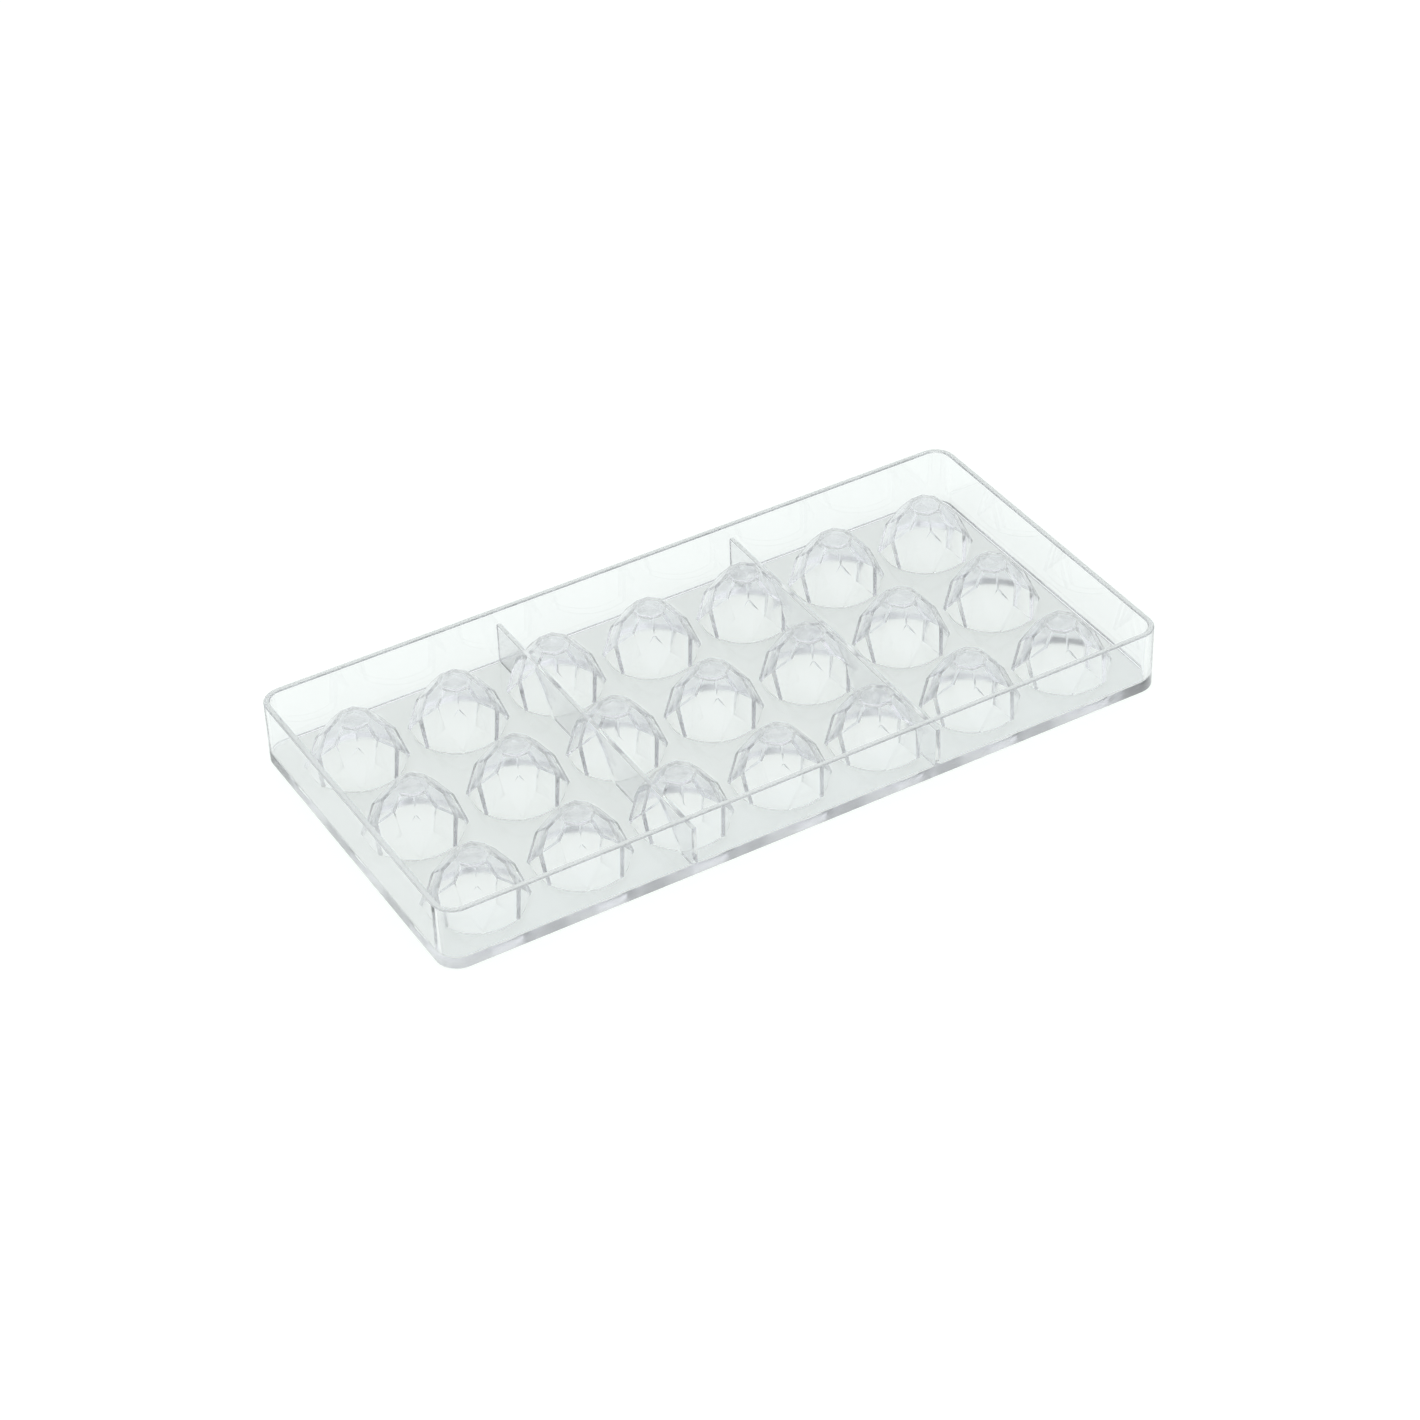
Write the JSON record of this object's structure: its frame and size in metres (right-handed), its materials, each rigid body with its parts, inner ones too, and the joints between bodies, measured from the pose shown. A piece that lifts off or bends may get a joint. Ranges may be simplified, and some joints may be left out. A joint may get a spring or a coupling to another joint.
{
  "type": "chocolate mould",
  "caption": "Clear polycarbonate praline mould: rows of faceted gem cavities in a flat plate, with a skirt round the edge and two cross ribs.",
  "frame": {"origin": "middle of the pouring face, which is the underside of the plate", "axes": "+X along the mould's long side, +Y across it, +Z from the pouring face towards the rim of the skirt"},
  "size_m": [0.275, 0.135, 0.024],
  "materials": {
    "polycarbonate": "clear, polished"
  },
  "bodies": {
    "root": {"mould": "polycarbonate"}
  },
  "joints": []
}
